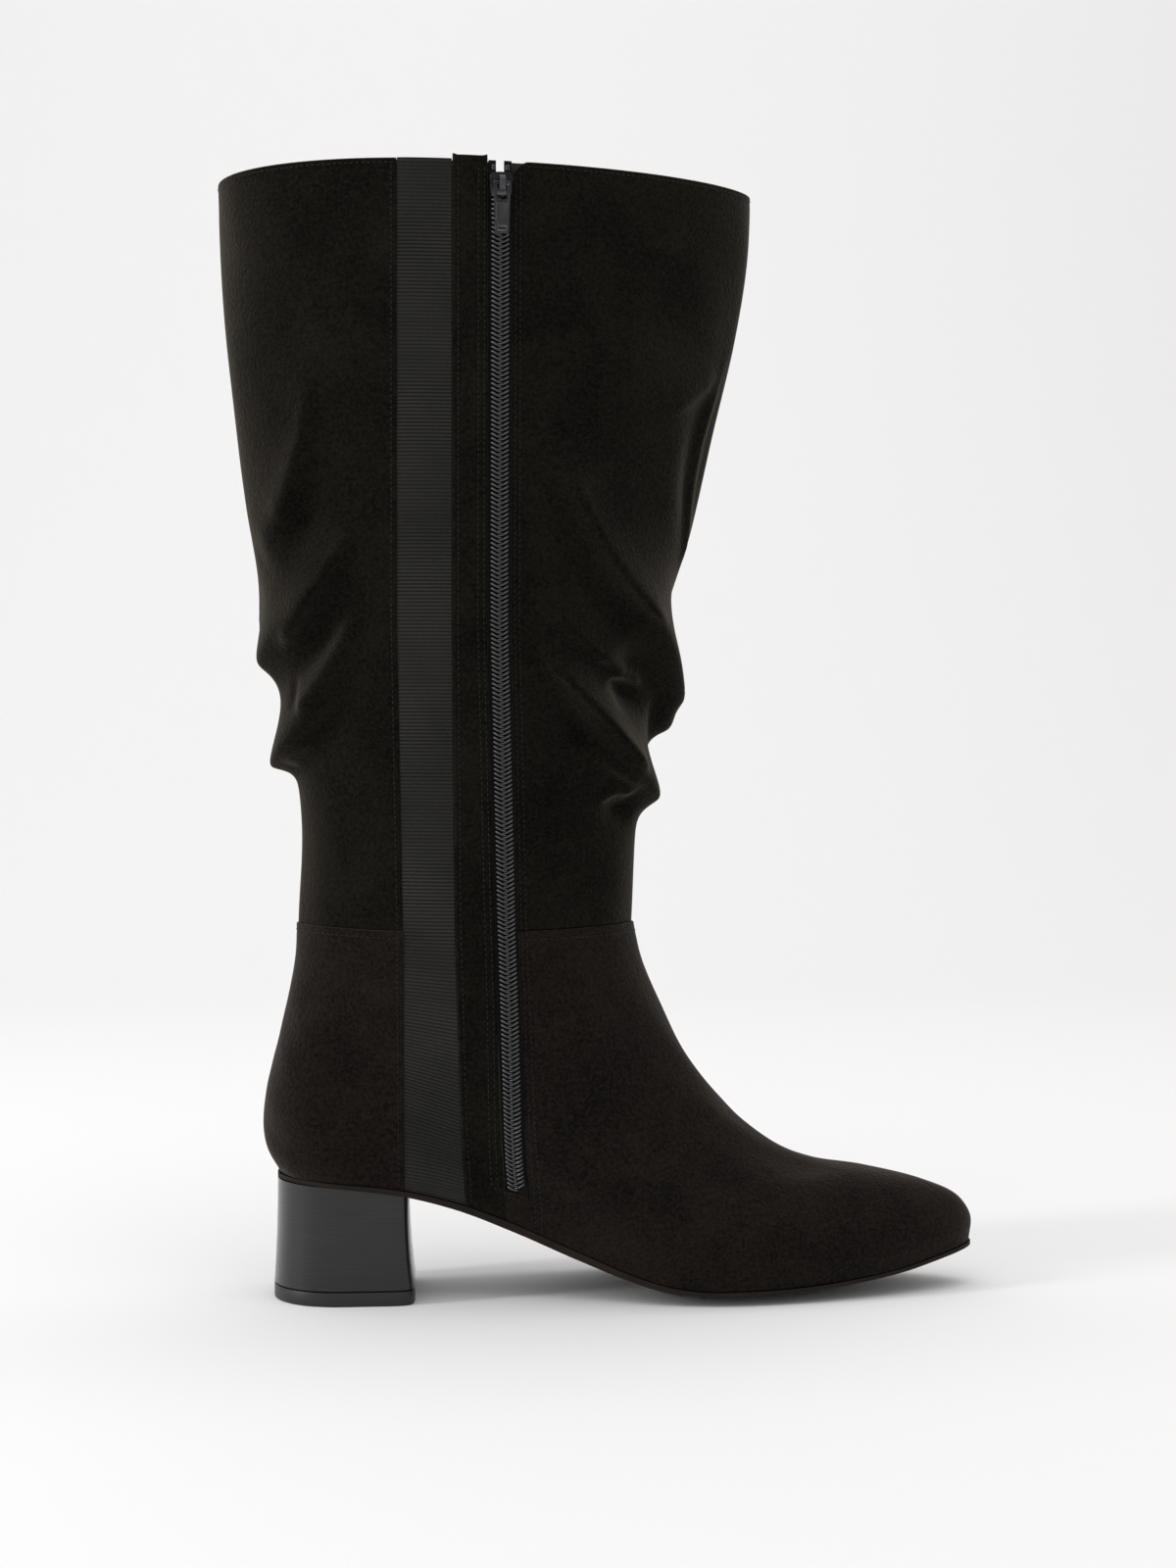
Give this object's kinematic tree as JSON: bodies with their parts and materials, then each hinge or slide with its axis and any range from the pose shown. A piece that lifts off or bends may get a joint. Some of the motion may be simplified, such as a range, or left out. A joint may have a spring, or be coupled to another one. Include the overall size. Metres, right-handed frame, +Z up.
{
  "type": "slouch boot",
  "caption": "Women's knee-high slouch boot for the left foot: suede-like shaft with soft folds, pointed toe, elastic gore and zip on the inner side, stacked block heel.",
  "frame": {"origin": "on the floor under the middle of the heel, at the heel's rest face", "axes": "+X towards the toe, +Y towards the outer side of the leg, +Z up"},
  "size_m": [0.2891, 0.099, 0.4205],
  "materials": {
    "suede": "napped, matt",
    "gore_webbing": "ribbed knit",
    "zip_tape": "woven, matt",
    "zip_coil": "satin",
    "slider_metal": "dark plated, satin",
    "insole_lining": "smooth, matt",
    "sole_rubber": "matt",
    "stacked_heel": "stacked layers, satin",
    "top_lift": "matt"
  },
  "bodies": {
    "boot": {"shaft": "suede", "upper": "suede", "zip_facing": "suede", "elastic_gore": "gore_webbing", "zip_tape_back": "zip_tape", "zip_tape_front": "zip_tape", "zip_coil": "zip_coil", "zip_slider": "slider_metal", "insole": "insole_lining", "outsole": "sole_rubber", "heel_block": "stacked_heel", "top_lift": "top_lift"},
    "pull_tab": {"zip_pull_tab": "slider_metal"}
  },
  "joints": [
    {"name": "pull_tab_hinge", "type": "hinge", "parent": "boot", "child": "pull_tab", "pos_m": [0.05741, -0.04936, 0.40986], "axis": [-0.9941, -0.1087, -0.0042], "range_deg": [0, 165]}
  ]
}
